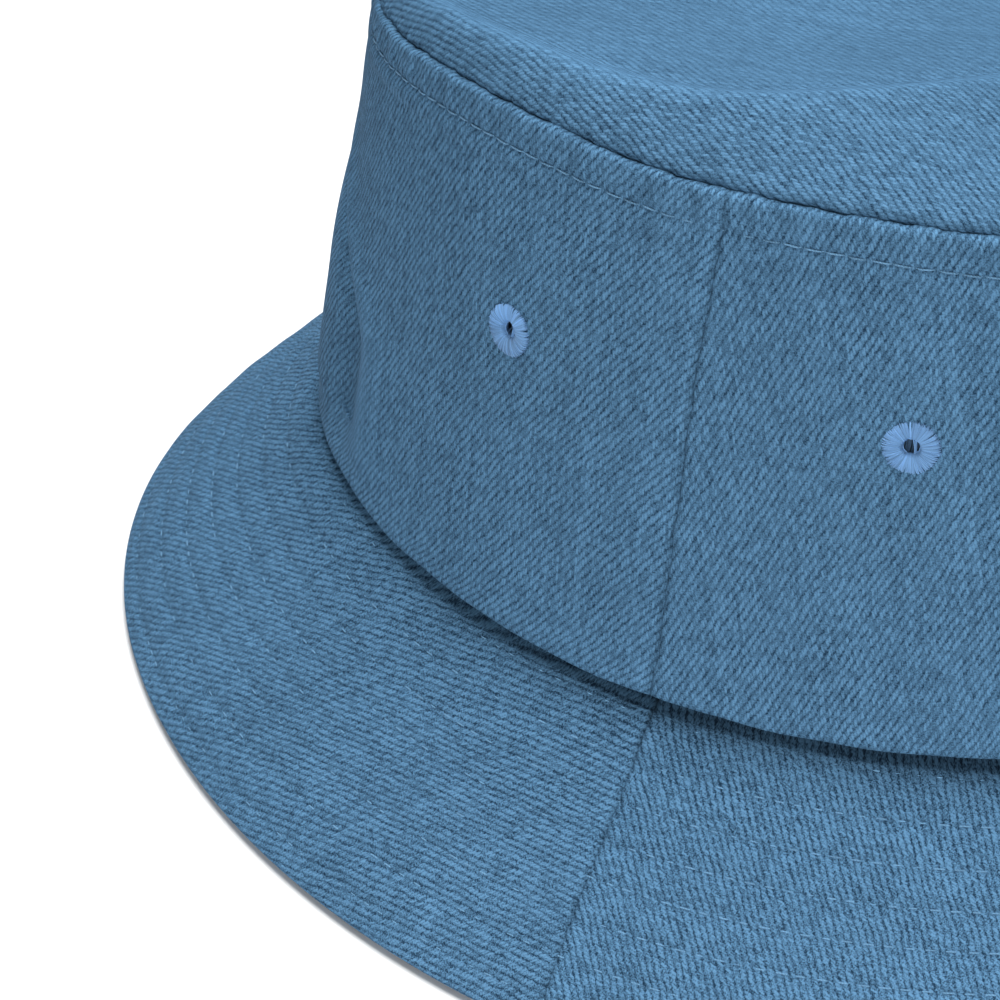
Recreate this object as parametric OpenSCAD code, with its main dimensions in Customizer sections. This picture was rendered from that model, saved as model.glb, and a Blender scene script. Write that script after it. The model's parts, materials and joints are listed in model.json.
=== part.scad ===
// Denim bucket hat, sewn from an oval crown tip, a two-piece side wall and a two-ply stitched brim.
//
// Frame: the origin is the centre of the plane that the brim's edge rests on, +Z is up,
// the wearer faces -Y, the wearer's left is +X. Millimetres.
//
// Every horizontal section is the same kind of four-centre oval: two small arcs front and back
// and two large arcs at the sides. All rings are offsets of one oval, so a seam or a brim
// keeps its width all the way round. A ring is drawn as a flat profile of [out, z] points,
// where out is the distance outside the crown's base outline, swept around that oval.

/* [Head size] */
// Half-length of the crown at its base, front to back
crown_half_length = 101; // [97:0.5:105]
// Half-width of the crown at its base, side to side
crown_half_width = 88; // [84:0.5:92]

/* [Crown] */
// Height of the seam between wall and brim
brim_rise = 38; // [32:1:44]
// Height of the side wall
wall_height = 84; // [76:1:90]
// How far the wall leans in between its base and its top
wall_lean = 10.5; // [6:0.5:13]
// Height of the tip's soft crest above its seam
crest_height = 10; // [6:0.5:13]
// Distance of the crest inside the tip seam
crest_inset = 20; // [15:1:24]
// Depth of the dish in the middle of the tip
dish_depth = 2.2; // [0:0.2:4]

/* [Brim] */
// Reach of the brim outside the crown's base
brim_reach = 34.6; // [30:0.2:38]
// How far the brim bows below and above a straight slope
brim_bow = 1; // [0:0.1:1.4]
// Number of rows of stitching round the brim
brim_rows = 8; // [6:1:9]

/* [Cloth and thread] */
// Thickness of one ply of denim
denim = 0.9; // [0.7:0.05:1]
// Thickness of the brim's interlining
interlining = 0.5; // [0.3:0.05:0.6]
// Thickness of the seam tape and of the care label
tape = 0.5; // [0.4:0.05:0.6]
// Radius of the sewing thread
thread_radius = 0.25; // [0.2:0.01:0.3]
// Width of the seam allowances turned inside
allowance = 9; // [8:0.5:10]
// Distance of the topstitch below the tip seam
topstitch_drop = 6; // [5:0.25:6.5]

/* [Eyelets] */
// Distance of each front eyelet from its side seam, along the wall
front_eyelet_spread = 34; // [28:0.5:38]
// Distance of each back eyelet from its side seam, along the wall
back_eyelet_spread = 32.5; // [28:0.5:38]
// Height of the eyelets, as a share of the wall's height
eyelet_share = 0.59; // [0.5:0.01:0.7]
// Radius of the embroidered ring
eyelet_radius = 4.1; // [3.6:0.1:4.6]
// Radius of the air hole
eyelet_hole_radius = 1.5; // [1.2:0.1:1.7]

/* [Sweatband and label] */
// Height of the sweatband
band_height = 32; // [26:1:36]
// Width of the care label
label_width = 20; // [14:1:22]
// Length of the care label's flap
label_length = 28; // [20:1:30]

/* [Hidden] */
$fn = 96;

// Directions around the oval, in degrees
LEFT = 0;
BACK = 90;
RIGHT = 180;
FRONT = 270;

denim_blue = [0.36, 0.52, 0.65];
thread_blue = [0.60, 0.72, 0.84];
eyelet_blue = [0.47, 0.65, 0.83];
tape_blue = [0.30, 0.42, 0.56];
band_blue = [0.22, 0.32, 0.46];
canvas_white = [0.90, 0.90, 0.88];

gap = 0.15;               // air between two plies
seam_gap = 0.2;           // width of the butt between two panels
thread_proud = 0.05;      // how far a thread stands clear of its groove's floor

// The four-centre oval: end arcs centred on the Y axis, side arcs on the X axis
arc_shift = (crown_half_length - crown_half_width) / (2 - sqrt(2));
end_radius = crown_half_length - arc_shift;
side_radius = crown_half_width + arc_shift;
seam_angle = round(1000 * seam_gap / 2 / side_radius * 180 / PI) / 1000;

wall_top = brim_rise + wall_height;
lean_angle = atan(wall_lean / wall_height);

// Depths inside the wall's outer face, ply by ply
fold_depth = 2 * denim;                      // wall and its own turned-in allowance
ply1_depth = fold_depth + gap;               // the next ply in: tip or brim top
ply2_depth = ply1_depth + denim + gap;       // the ply after that: brim underside or tape
band_depth = ply2_depth + denim + gap;       // the sweatband
band_thickness = 0.7;
hem_thickness = 1.2;
hem_width = 6;
band_bottom = brim_rise + 1;
band_top = band_bottom + band_height;
band_sew_height = band_bottom + 4;

// Brim plies, measured down from the brim's top surface
edge_height = 2.3;
under_depth = denim + interlining + 2 * gap;
brim_thickness = under_depth + denim;
brim_drop = brim_rise - gap - edge_height;
row_inset = 0.05;                            // the first row's place, as a share of the brim
edge_inset = 0.06;                           // the last row's distance from the edge, as a share
brim_steps = 3;                              // profile points from one row to the next

// Where the wall's outer face is at height z
function wall_out(z) = -wall_lean * (z - brim_rise) / wall_height;

// The brim's top surface at share s of its width, and a point at some depth below it
function brim_slope(s) =
    [brim_reach, -brim_drop - brim_bow * 2 * PI * cos(360 * s)];
function brim_point(s, depth) =
    let (slope = brim_slope(s) / norm(brim_slope(s)))
    [
        brim_reach * s + slope.y * depth,
        brim_rise - gap - brim_drop * s - brim_bow * sin(360 * s) - slope.x * depth
    ];
function row_share(row) = row_inset + (1 - row_inset - edge_inset) * row / (brim_rows - 1);

// The tip's outer surface: [distance inside the seam, height above it]
tip_start = [1.7, 1.6];
function tip_rise(share) = [
    tip_start.x + (crest_inset - tip_start.x) * share,
    tip_start.y + (crest_height - tip_start.y) * sin(90 * share)
];
dish_width = 22;
flat_overlap = 4;
function tip_dish(share) = [
    crest_inset + dish_width * share,
    crest_height - dish_depth * (1 - cos(180 * share)) / 2
];
tip_curve = concat(
    [for (i = [0:6]) tip_rise(i / 6)],
    [for (i = [1:6]) tip_dish(i / 6)]
);

// A point of the oval whose outward normal has this direction
function oval_point(angle, out) =
    let (
        quarter = round(angle / 90),
        at_side = quarter % 2 == 0,
        radius = (at_side ? side_radius : end_radius) + out,
        shift = (at_side ? -arc_shift : arc_shift)
    )
    shift * [cos(90 * quarter), sin(90 * quarter)] + radius * [cos(angle), sin(angle)];

// Moves its children in a coarse and a fine step, which keeps the sum's last decimals, so that
// neighbouring arcs meet exactly.
module move_finely(offset) {
    coarse = [for (c = offset) round(100 * c) / 100];
    translate(coarse) translate(offset - coarse) children();
}

// Sweeps a profile of [out, z] points around the oval between two directions
module around_oval(from = -45, to = 315) {
    for (quarter = [-1:5]) {
        start = max(from, 90 * quarter - 45);
        end = min(to, 90 * quarter + 45);
        at_side = quarter % 2 == 0;
        radius = at_side ? side_radius : end_radius;
        if (end > start)
            move_finely((at_side ? -1 : 1) * arc_shift * [cos(90 * quarter), sin(90 * quarter), 0])
            rotate_extrude(start = start, angle = end - start)
            move_finely([radius, 0])
            children();
    }
}

// One half of a ring, from side seam to side seam
module half_ring(middle) {
    around_oval(middle - 90 + seam_angle, middle + 90 - seam_angle) children();
}

// A band that follows the wall between two heights and two depths inside its outer face
module wall_band(low, high, outer_depth, inner_depth) {
    polygon([
        [wall_out(low) - outer_depth, low],
        [wall_out(high) - outer_depth, high],
        [wall_out(high) - inner_depth, high],
        [wall_out(low) - inner_depth, low]
    ]);
}

// A round of thread lying at a point of the profile
module thread_at(point) {
    translate(point) circle(r = thread_radius, $fn = 24);
}

// The groove that a round of thread lies in
module groove_at(point) {
    translate(point) circle(r = thread_radius + thread_proud, $fn = 24);
}

function on_wall(z, depth) = [wall_out(z) - depth, z];
topstitch_z = wall_top - topstitch_drop;

// ---- Crown ----

// The rim ends in a short flat, which overlaps the flat middle
module tip_rim_profile() {
    outer = [for (p = tip_curve) [-wall_lean - p.x, wall_top + p.y]];
    last = len(outer) - 1;
    flat = [-flat_overlap, 0];
    polygon(concat(
        [
            on_wall(wall_top - allowance, ply1_depth),
            on_wall(wall_top, ply1_depth)
        ],
        outer,
        [outer[last] + flat, outer[last] + flat - [0, denim]],
        [for (i = [last:-1:0]) outer[i] - [i < last ? denim / 2 : 0, denim]],
        [
            on_wall(wall_top - 1, ply1_depth + denim),
            on_wall(wall_top - allowance, ply1_depth + denim)
        ]
    ));
}

module tip_middle() {
    edge_out = -wall_lean - crest_inset - dish_width - flat_overlap / 2;
    step = 7.5;
    translate([0, 0, wall_top + crest_height - dish_depth - denim])
    linear_extrude(denim)
    polygon([for (angle = [0:step:360 - step]) oval_point(angle, edge_out)]);
}

module crown_tip() {
    color(denim_blue) {
        around_oval() tip_rim_profile();
        tip_middle();
    }
}

module panel_profile() {
    edge = 0.4;
    difference() {
        union() {
            polygon([
                [-edge, brim_rise],
                on_wall(brim_rise + edge, 0),
                on_wall(wall_top - edge, 0),
                on_wall(wall_top, edge),
                on_wall(wall_top, denim),
                on_wall(brim_rise, denim)
            ]);
            wall_band(wall_top - allowance, wall_top, denim / 2, fold_depth);
            wall_band(brim_rise, brim_rise + allowance, denim / 2, fold_depth);
        }
        groove_at(on_wall(topstitch_z, 0));
    }
}

// The side seam's allowance, pressed open against the inside of the wall
module side_allowance(from, to) {
    around_oval(from, to)
    wall_band(brim_rise + allowance, wall_top - allowance, denim / 2, fold_depth);
}

module crown_panel(middle) {
    turned = allowance / side_radius * 180 / PI;
    color(denim_blue)
    difference() {
        union() {
            half_ring(middle) panel_profile();
            side_allowance(middle - 90 + seam_angle, middle - 90 + turned);
            side_allowance(middle + 90 - turned, middle + 90 - seam_angle);
        }
        for (side = [-1, 1])
            at_eyelet(middle + 90 * side, -side, middle == FRONT)
            cylinder(r = eyelet_sleeve_radius + gap, h = 4 * denim, center = true);
    }
}

module crown_front_panel() crown_panel(FRONT);
module crown_back_panel() crown_panel(BACK);

// ---- Eyelets ----

eyelet_sleeve_radius = eyelet_hole_radius + 0.6;
eyelet_back_radius = eyelet_radius - 0.6;
eyelet_proud = 0.7;
eyelet_z = brim_rise + wall_height * eyelet_share;

// Places its children on the wall beside a side seam, with +Z pointing out of the wall
module at_eyelet(seam, turn, at_front) {
    seat_radius = side_radius + wall_out(eyelet_z);
    spread = at_front ? front_eyelet_spread : back_eyelet_spread;
    translate(-arc_shift * [cos(seam), sin(seam), 0])
    rotate([0, 0, seam + turn * spread / seat_radius * 180 / PI])
    translate([seat_radius, 0, eyelet_z])
    rotate([0, 90 - lean_angle, 0])
    children();
}

module eyelet(seam, turn, at_front) {
    color(eyelet_blue)
    at_eyelet(seam, turn, at_front)
    rotate_extrude()
    polygon([
        [eyelet_hole_radius, -denim - gap - eyelet_proud],
        [eyelet_back_radius, -denim - gap - eyelet_proud / 2],
        [eyelet_back_radius, -denim - gap],
        [eyelet_sleeve_radius, -denim - gap],
        [eyelet_sleeve_radius, gap],
        [eyelet_radius, gap],
        [eyelet_radius, gap + eyelet_proud / 2],
        [eyelet_hole_radius + 1, gap + eyelet_proud],
        [eyelet_hole_radius, gap + eyelet_proud / 2]
    ]);
}

module eyelet_front_left() eyelet(LEFT, -1, true);
module eyelet_front_right() eyelet(RIGHT, 1, true);
module eyelet_back_left() eyelet(LEFT, 1, false);
module eyelet_back_right() eyelet(RIGHT, -1, false);

// ---- Brim ----

// A ply of the brim between two depths, with its seam allowance turned up inside the crown
module brim_ply(top, bottom, turned_depth, turned_height) {
    steps = (brim_rows + 1) * brim_steps;
    start = brim_point(0, top);
    below = brim_point(0, bottom);
    polygon(concat(
        [
            on_wall(brim_rise + turned_height, turned_depth + denim),
            on_wall(brim_rise + turned_height, turned_depth),
            on_wall(brim_rise, turned_depth),
            [-turned_depth, start.y]
        ],
        [for (i = [0:steps]) brim_point(i / steps, top)],
        [for (i = [steps:-1:0]) brim_point(i / steps, bottom)],
        [[-turned_depth - denim, below.y], on_wall(brim_rise, turned_depth + denim)]
    ));
}

module brim_top(middle) {
    color(denim_blue)
    half_ring(middle)
    difference() {
        brim_ply(0, denim, ply1_depth, allowance);
        for (row = [0:brim_rows - 1]) groove_at(brim_point(row_share(row), 0));
    }
}

module brim_top_front() brim_top(FRONT);
module brim_top_back() brim_top(BACK);

// The underside ply ends in a narrow flat that the hat stands on
module brim_under(middle) {
    foot = 1.3;
    foot_start = 0.93;
    color(denim_blue)
    half_ring(middle)
    difference() {
        union() {
            brim_ply(under_depth, brim_thickness, ply2_depth, allowance - 1);
            polygon([
                brim_point(foot_start, under_depth + denim / 2),
                brim_point(1, under_depth),
                [brim_reach - foot / 2, 0],
                [brim_reach - foot / 2 - foot, 0],
                brim_point(foot_start, brim_thickness)
            ]);
        }
        for (row = [0:brim_rows - 2]) groove_at(brim_point(row_share(row), brim_thickness));
    }
}

module brim_under_front() brim_under(FRONT);
module brim_under_back() brim_under(BACK);

module brim_interlining(middle) {
    steps = 2 * brim_rows;
    first = 0.02;
    last = 0.97;
    top = [for (i = [0:steps]) brim_point(first + (last - first) * i / steps, denim + gap)];
    bottom = [
        for (i = [steps:-1:0])
            brim_point(first + (last - first) * i / steps, denim + gap + interlining)
    ];
    color(canvas_white) half_ring(middle) polygon(concat(top, bottom));
}

module brim_interlining_front() brim_interlining(FRONT);
module brim_interlining_back() brim_interlining(BACK);

// ---- Sweatband and seam tapes ----

module sweatband() {
    color(band_blue)
    around_oval() {
        wall_band(band_bottom, band_top, band_depth, band_depth + band_thickness);
        wall_band(band_top - hem_width, band_top, band_depth, band_depth + hem_thickness);
    }
}

tip_tape_width = 9;
tip_tape_top = wall_top - 1.5;
tape_depth = ply1_depth + denim + gap;
side_tape_width = 13.5;
side_tape_row = 5;                           // each stitch row's distance from the side seam
side_tape_bottom = band_top + 1;
side_tape_top = tip_tape_top - tip_tape_width - 1;
side_row_margin = 2;                         // the tape's length beyond each end of its rows

module tip_seam_tape() {
    color(tape_blue)
    around_oval()
    wall_band(tip_tape_top - tip_tape_width, tip_tape_top, tape_depth, tape_depth + tape);
}

// A straight tape over the pressed-open side seam, between the two turned-in hems
module side_tape(seam) {
    half_angle = side_tape_width / 2 / side_radius * 180 / PI;
    color(tape_blue)
    around_oval(seam - half_angle, seam + half_angle)
    wall_band(side_tape_bottom, side_tape_top, ply1_depth, ply1_depth + tape);
}

module left_seam_tape() side_tape(LEFT);
module right_seam_tape() side_tape(RIGHT);

// ---- Thread ----

module tip_topstitch() {
    inside = gap / 2 + thread_radius;
    color(thread_blue) {
        around_oval() thread_at(on_wall(topstitch_z, 0));
        around_oval() thread_at(on_wall(topstitch_z, tape_depth + tape + inside));
    }
}

module brim_needle_thread() {
    color(thread_blue)
    for (row = [0:brim_rows - 1])
        around_oval() thread_at(brim_point(row_share(row), 0));
}

module brim_bobbin_thread() {
    color(thread_blue)
    for (row = [0:brim_rows - 2])
        around_oval() thread_at(brim_point(row_share(row), brim_thickness));
}

module sweatband_stitching() {
    inside = gap / 2 + thread_radius;
    color(thread_blue) {
        around_oval() thread_at(on_wall(band_sew_height, band_depth + band_thickness + inside));
        around_oval() thread_at(on_wall(band_top - 2, band_depth + hem_thickness + inside));
    }
}

// Two rows down each side tape
module seam_tape_stitching() {
    row_angle = side_tape_row / side_radius * 180 / PI;
    width_angle = 2 * thread_radius / side_radius * 180 / PI;
    depth = ply1_depth + tape + gap / 2;
    color(thread_blue)
    for (seam = [LEFT, RIGHT], side = [-1, 1])
        around_oval(
            seam + side * row_angle - width_angle / 2,
            seam + side * row_angle + width_angle / 2
        )
        wall_band(
            side_tape_bottom + side_row_margin, side_tape_top - side_row_margin,
            depth, depth + 2 * thread_radius
        );
}

// ---- Care label ----

label_thickness = 2 * tape;
label_hinge_z = band_top - 4;
// The label is flat and the band is curved, so the label stands off at its middle
hem_face = wall_out(label_hinge_z) - band_depth - hem_thickness;
label_sag = pow(label_width / 2, 2) / 2 / (end_radius + hem_face);
label_hinge_y = crown_half_length + hem_face - gap - label_sag - label_thickness / 2;
// The tacks lie behind the swinging label, just above its rounded edge
tack_size = [4, 0.3, 0.8];
tack_inset = 2;
tack_place = [label_thickness / 2, label_thickness / 2 + gap];

// Places its children at the label's sewn edge, with -Z pointing down the band
module at_label() {
    translate([0, label_hinge_y, label_hinge_z])
    rotate([lean_angle, 0, 0])
    children();
}

module care_label() {
    color(canvas_white)
    at_label() {
        translate([-label_width / 2, -label_thickness / 2, -label_length])
        cube([label_width, label_thickness, label_length]);
        rotate([0, 90, 0])
        cylinder(r = label_thickness / 2, h = label_width, center = true);
    }
}

// The bar tacks that hold the label's top edge to the band
module care_label_tack() {
    color(thread_blue)
    at_label()
    for (side = [-1, 1])
        translate([
            side * (label_width / 2 - tack_inset - tack_size.x / 2) - tack_size.x / 2,
            tack_place.x, tack_place.y
        ])
        cube(tack_size);
}

crown_tip();
crown_front_panel();
crown_back_panel();
brim_top_front();
brim_top_back();
brim_under_front();
brim_under_back();
brim_interlining_front();
brim_interlining_back();
sweatband();
tip_seam_tape();
left_seam_tape();
right_seam_tape();
eyelet_front_left();
eyelet_front_right();
eyelet_back_left();
eyelet_back_right();
tip_topstitch();
brim_needle_thread();
brim_bobbin_thread();
sweatband_stitching();
seam_tape_stitching();
care_label();
care_label_tack();
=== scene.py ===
"""Denim bucket hat: the looks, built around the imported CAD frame.

Lengths are millimetres until a mesh is made. A direction round the hat is theta, the angle of the
oval's outward normal: 0 is the wearer's left, 90 deg the back, 180 deg the right, 270 deg the front.
Cloth pieces are sheets with a real thickness, and their UV map holds millimetres of flat cloth,
so that the twill keeps its true scale and its grain on every piece.
"""
import json
import math

import bmesh
import bpy
import numpy as np
from mathutils import Matrix, Vector


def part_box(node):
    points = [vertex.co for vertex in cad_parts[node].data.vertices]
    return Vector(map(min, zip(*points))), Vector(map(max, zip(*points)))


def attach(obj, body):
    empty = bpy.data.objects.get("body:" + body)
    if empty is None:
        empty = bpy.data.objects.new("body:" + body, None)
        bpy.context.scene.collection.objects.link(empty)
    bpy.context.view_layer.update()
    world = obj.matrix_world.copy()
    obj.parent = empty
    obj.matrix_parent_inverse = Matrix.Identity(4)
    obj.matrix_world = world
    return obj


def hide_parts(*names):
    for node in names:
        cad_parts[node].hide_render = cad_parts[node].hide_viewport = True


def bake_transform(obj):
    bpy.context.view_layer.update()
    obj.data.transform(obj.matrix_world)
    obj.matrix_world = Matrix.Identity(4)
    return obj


bpy.ops.wm.read_factory_settings(use_empty=True)
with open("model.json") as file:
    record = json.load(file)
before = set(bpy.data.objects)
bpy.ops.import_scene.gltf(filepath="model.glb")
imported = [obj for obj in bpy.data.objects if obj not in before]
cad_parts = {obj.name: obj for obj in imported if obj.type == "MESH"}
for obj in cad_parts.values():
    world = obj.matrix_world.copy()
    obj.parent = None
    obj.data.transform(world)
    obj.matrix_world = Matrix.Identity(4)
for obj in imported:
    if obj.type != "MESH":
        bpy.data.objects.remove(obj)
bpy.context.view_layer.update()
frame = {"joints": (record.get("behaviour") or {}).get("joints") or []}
scene = bpy.context.scene
rng = np.random.default_rng(11)

MM = 0.001
PI = math.pi


def box_mm(node):
    """A CAD node's lowest and highest corners, in millimetres."""
    low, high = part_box(node)
    return np.array(low) / MM, np.array(high) / MM


# ---- Sizes: the driving ones come from the frame ----

wall_low, wall_high = box_mm("crown_front_panel")
HALF_WIDTH = wall_high[0]
HALF_LENGTH = -wall_low[1]
RISE = wall_low[2]
WALL_TOP = wall_high[2]
REACH = box_mm("brim_top_front")[1][0] - HALF_WIDTH
BAND_LOW, BAND_HIGH = box_mm("sweatband")[0][2] - RISE, box_mm("sweatband")[1][2] - RISE

# The four-centre oval that every ring of the hat is an offset of
ARC_SHIFT = (HALF_LENGTH - HALF_WIDTH) / (2 - math.sqrt(2))
END_RADIUS = HALF_LENGTH - ARC_SHIFT
SIDE_RADIUS = HALF_WIDTH + ARC_SHIFT
PERIMETER = PI * (END_RADIUS + SIDE_RADIUS)

# Cloth as worn: the rings' tilt and saddle
TOP_IN_SIDE, TOP_IN_END = 10.75, 7.67
TOP_DROP, TOP_SADDLE, TOP_TILT = 0.67, 3.75, 0.76
TOP_SHIFT_X, TOP_SHIFT_Y = -0.16, -0.35  # the top edge sits a little right and forward
SLUMP_AT, SLUMP_DEPTH = 130.0, 3.8  # where the tip seam sags most: degrees, mm
BASE_SADDLE, BASE_TILT, BASE_ROLL = 0.87, 0.98, 0.43
EDGE_SADDLE = 0.40
EDGE_HEIGHT = 2.3
EDGE_SPILL = 0.35  # how far the worn edge spreads beyond the brim's plain reach
BRIM_BOW = 1.0
BACK_DROOP = 2.8  # the worn brim's edge hangs further in at the back
BRIM_SWAG = 1.5  # and further out near the right side
WALL = WALL_TOP - TOP_DROP - RISE
SEAM_SWING = (-0.005, 0.023)  # the side seam's drift, in radians, at its foot and its top
TUCK_AT, TUCK_WIDTH, TUCK_DEPTH = 112.0, 20.0, 1.6  # where the wall's top leans in: degrees, mm
WALL_CLOTH, BRIM_CLOTH = 299.0, 360.0  # length of a wall panel and of a brim ply
SEAM_LAP = 0.04 / SIDE_RADIUS  # the angle by which two plies pass each other at a side seam

# Plies and seams
PLY = 0.88
GAP = 0.12
FOLD = 1.9  # depth of the first ply inside the wall's own fold
UNDER_PLY = 3.0  # depth of the ply after that
BAND_DEPTH = 4.05
LOW_STITCH, HIGH_STITCH = 4.0, 2.0  # the sweatband's rows of stitching, from its two edges
TAPE, TAPE_DEPTH = 0.45, 1.95  # a seam tape's thickness, and its depth at the side seams
ALLOWANCE = 9.0
TOPSTITCH_DROP = 5.74
BRIM_ROWS = 8
FIRST_ROW, LAST_ROW = 0.05, 0.94
BRIM_UNDER = 1.72  # depth of the underside ply below the brim's top face
BRIM_THICKNESS = BRIM_UNDER + PLY

WARP_PITCH, WEFT_PITCH = 0.44, 0.56
FRONT, BACK = 1.5 * PI, 0.5 * PI  # the middles of the two halves of the wall and of the brim


# ---- Small helpers ----

def smooth(x, low, high):
    """0 below low, 1 above high, and a smooth step between."""
    t = np.clip((x - low) / (high - low), 0, 1)
    return t * t * (3 - 2 * t)


def fall(x, low, high):
    """1 below low, 0 above high, and a smooth step between."""
    return smooth(-x, -high, -low)


def hump(x, centre, width):
    """A soft hump of height 1."""
    return np.exp(-((x - centre) / width) ** 2)


def ripple(along, across=0.0, seed=0.0):
    """A slow, uneven wave between about -1 and 1, made of a few sines."""
    return (
        0.5 * np.sin(along + 0.7 * across + 1.3 * seed)
        + 0.3 * np.sin(1.73 * along - 1.1 * across + 2.1 * seed + 1.0)
        + 0.2 * np.sin(2.91 * along + 2.3 * across + 0.7 * seed + 2.0)
    )


def steps(*stops):
    """Numbers from stop to stop: each stop after the first is (value, spacing up to it)."""
    values = [np.array([stops[0]], float)]
    for end, spacing in stops[1:]:
        start = values[-1][-1]
        count = max(1, round(abs(end - start) / spacing))
        values.append(np.linspace(start, end, count + 1)[1:])
    return np.concatenate(values)


def oval(theta, out):
    """The point of the base oval with outward normal theta, moved outward."""
    c, s = np.cos(theta), np.sin(theta)
    side = np.abs(c) >= np.abs(s)
    x = np.where(side, SIDE_RADIUS * c - np.sign(c) * ARC_SHIFT, END_RADIUS * c) + out * c
    y = np.where(side, SIDE_RADIUS * s, END_RADIUS * s + np.sign(s) * ARC_SHIFT) + out * s
    return x, y


def place(theta, out, z):
    """3-D points from direction, distance outside the base oval, and height."""
    x, y = oval(theta, out)
    return np.stack(np.broadcast_arrays(x, y, z), -1)


ARC_ANGLES = np.linspace(-PI, 3 * PI, 14401)
ON_SIDE = np.abs(np.cos(ARC_ANGLES)) >= np.abs(np.sin(ARC_ANGLES))
ARC_RADII = np.where(ON_SIDE, SIDE_RADIUS, END_RADIUS)
ARC_STEPS = (ARC_RADII[1:] + ARC_RADII[:-1]) / 2 * np.diff(ARC_ANGLES)
ARC_LENGTHS = np.concatenate([[0], np.cumsum(ARC_STEPS)])


def arc(theta):
    """Length along the base oval."""
    return np.interp(theta, ARC_ANGLES, ARC_LENGTHS)


def degrees_of(theta):
    """The same direction, from 0 to 360 degrees."""
    return np.degrees(theta) % 360


def base_z(theta):
    """Height of the wall's foot."""
    return RISE - BASE_ROLL * np.cos(theta) - BASE_TILT * np.sin(theta) + BASE_SADDLE * np.cos(2 * theta)


def top_z(theta):
    """Height of the wall's top edge, where soft cloth sags at the back right."""
    degrees = degrees_of(theta)
    slump = SLUMP_DEPTH * hump(degrees, SLUMP_AT, np.where(degrees < SLUMP_AT, 34, 16))
    slump += 0.55 * hump(degrees, 200, 45) + 0.9 * hump(degrees, 176, 11)
    return WALL_TOP - TOP_DROP - TOP_TILT * np.sin(theta) + TOP_SADDLE * np.cos(2 * theta) - slump


def top_out(theta):
    """How far outside the base oval the wall's top edge is: below 0, as the wall leans in."""
    c, s = np.cos(theta), np.sin(theta)
    tuck = TUCK_DEPTH * hump(degrees_of(theta), TUCK_AT, TUCK_WIDTH)
    return -(TOP_IN_SIDE * c * c + TOP_IN_END * s * s) + TOP_SHIFT_X * c + TOP_SHIFT_Y * s - tuck


def wall_profile(theta, height, depth):
    """[out, z] at a height above the wall's foot and a depth inside its face."""
    share = height / WALL
    out = top_out(theta) * share - depth
    return out, base_z(theta) + (top_z(theta) - base_z(theta)) * share


def brim_profile(theta, share, depth):
    """[out, z] at a share of the brim's width and a depth below its top face."""
    degrees = degrees_of(theta)
    start, reach = base_z(theta) - GAP, REACH + EDGE_SPILL - EDGE_SADDLE * np.cos(2 * theta)
    reach = reach - BACK_DROOP * hump(degrees, 84, 16.5) + BRIM_SWAG * hump(degrees, 186, 17)
    drop = start - EDGE_HEIGHT
    fall = drop + BRIM_BOW * 2 * PI * np.cos(2 * PI * share)
    length = np.hypot(reach, fall)
    out = reach * share - depth * fall / length
    z = start - drop * share - BRIM_BOW * np.sin(2 * PI * share) - depth * reach / length
    return out, z


BRIM_SLANT = math.hypot(REACH, RISE - EDGE_HEIGHT)
ROW_SHARES = np.linspace(FIRST_ROW, LAST_ROW, BRIM_ROWS)


def row_distance(share):
    """Millimetres from the nearest row of stitching on the brim."""
    return np.min(np.abs(share[..., None] - ROW_SHARES), -1) * BRIM_SLANT


def turned(u, v, degrees):
    """Cloth coordinates with the grain turned by some degrees."""
    c, s = math.cos(math.radians(degrees)), math.sin(math.radians(degrees))
    return np.stack([c * u + s * v, c * v - s * u], -1)


def flat_cloth(theta, along, middle, growth, turn):
    """Millimetres of flat cloth on a cone: along is the slant distance from the base oval, growth
    the perimeter gained per millimetre of slant, and turn the grain's rotation in degrees."""
    radius = PERIMETER / abs(growth)
    phase = (arc(theta) - arc(middle)) / radius
    r = radius + along if growth > 0 else radius - along
    return turned(r * np.sin(phase), radius - r * np.cos(phase), turn)


# ---- Meshes ----

def corners(grid):
    """The four corners of each cell of a grid, going round the cell."""
    cells = np.stack([grid[:-1, :-1], grid[:-1, 1:], grid[1:, 1:], grid[1:, :-1]], 2)
    return cells.reshape(-1, 4, *grid.shape[2:])


def wrapped(grid):
    """A grid with its first column again at its end."""
    return np.concatenate([grid, grid[:, :1]], 1)


def make_object(name, points, faces, uvs, fade_and_shading, softened=None, fix_normals=False):
    """A mesh from points in millimetres, and from lists of face arrays and of their corners' UVs.
    Two values are painted per point: fading, wear and painted light and shade in the first, and softened
    contrast in the second."""
    mesh = bpy.data.meshes.new(name)
    mesh.vertices.add(len(points))
    mesh.vertices.foreach_set("co", (points * MM).astype(np.float32).ravel())
    loops = np.concatenate([f.ravel() for f in faces])
    sizes = np.concatenate([np.full(len(f), f.shape[1]) for f in faces])
    mesh.loops.add(len(loops))
    mesh.loops.foreach_set("vertex_index", loops.astype(np.int32))
    mesh.polygons.add(len(sizes))
    mesh.polygons.foreach_set("loop_start", np.concatenate([[0], np.cumsum(sizes)[:-1]]).astype(np.int32))
    mesh.update(calc_edges=True)
    flat_uvs = np.concatenate([uv.ravel() for uv in uvs])
    mesh.uv_layers.new(name="cloth").data.foreach_set("uv", flat_uvs.astype(np.float32))
    for key, values in (("fade_and_shading", fade_and_shading), ("softened", softened)):
        if values is not None:
            attribute = mesh.attributes.new(key, "FLOAT", "POINT")
            attribute.data.foreach_set("value", values.astype(np.float32).ravel())
    if fix_normals:
        work = bmesh.new()
        work.from_mesh(mesh)
        bmesh.ops.recalc_face_normals(work, faces=work.faces)
        work.to_mesh(mesh)
        work.free()
    mesh.polygons.foreach_set("use_smooth", np.ones(len(mesh.polygons), bool))
    mesh.set_sharp_from_angle(angle=math.radians(55))
    piece = bpy.data.objects.new(name, mesh)
    scene.collection.objects.link(piece)
    return piece


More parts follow.
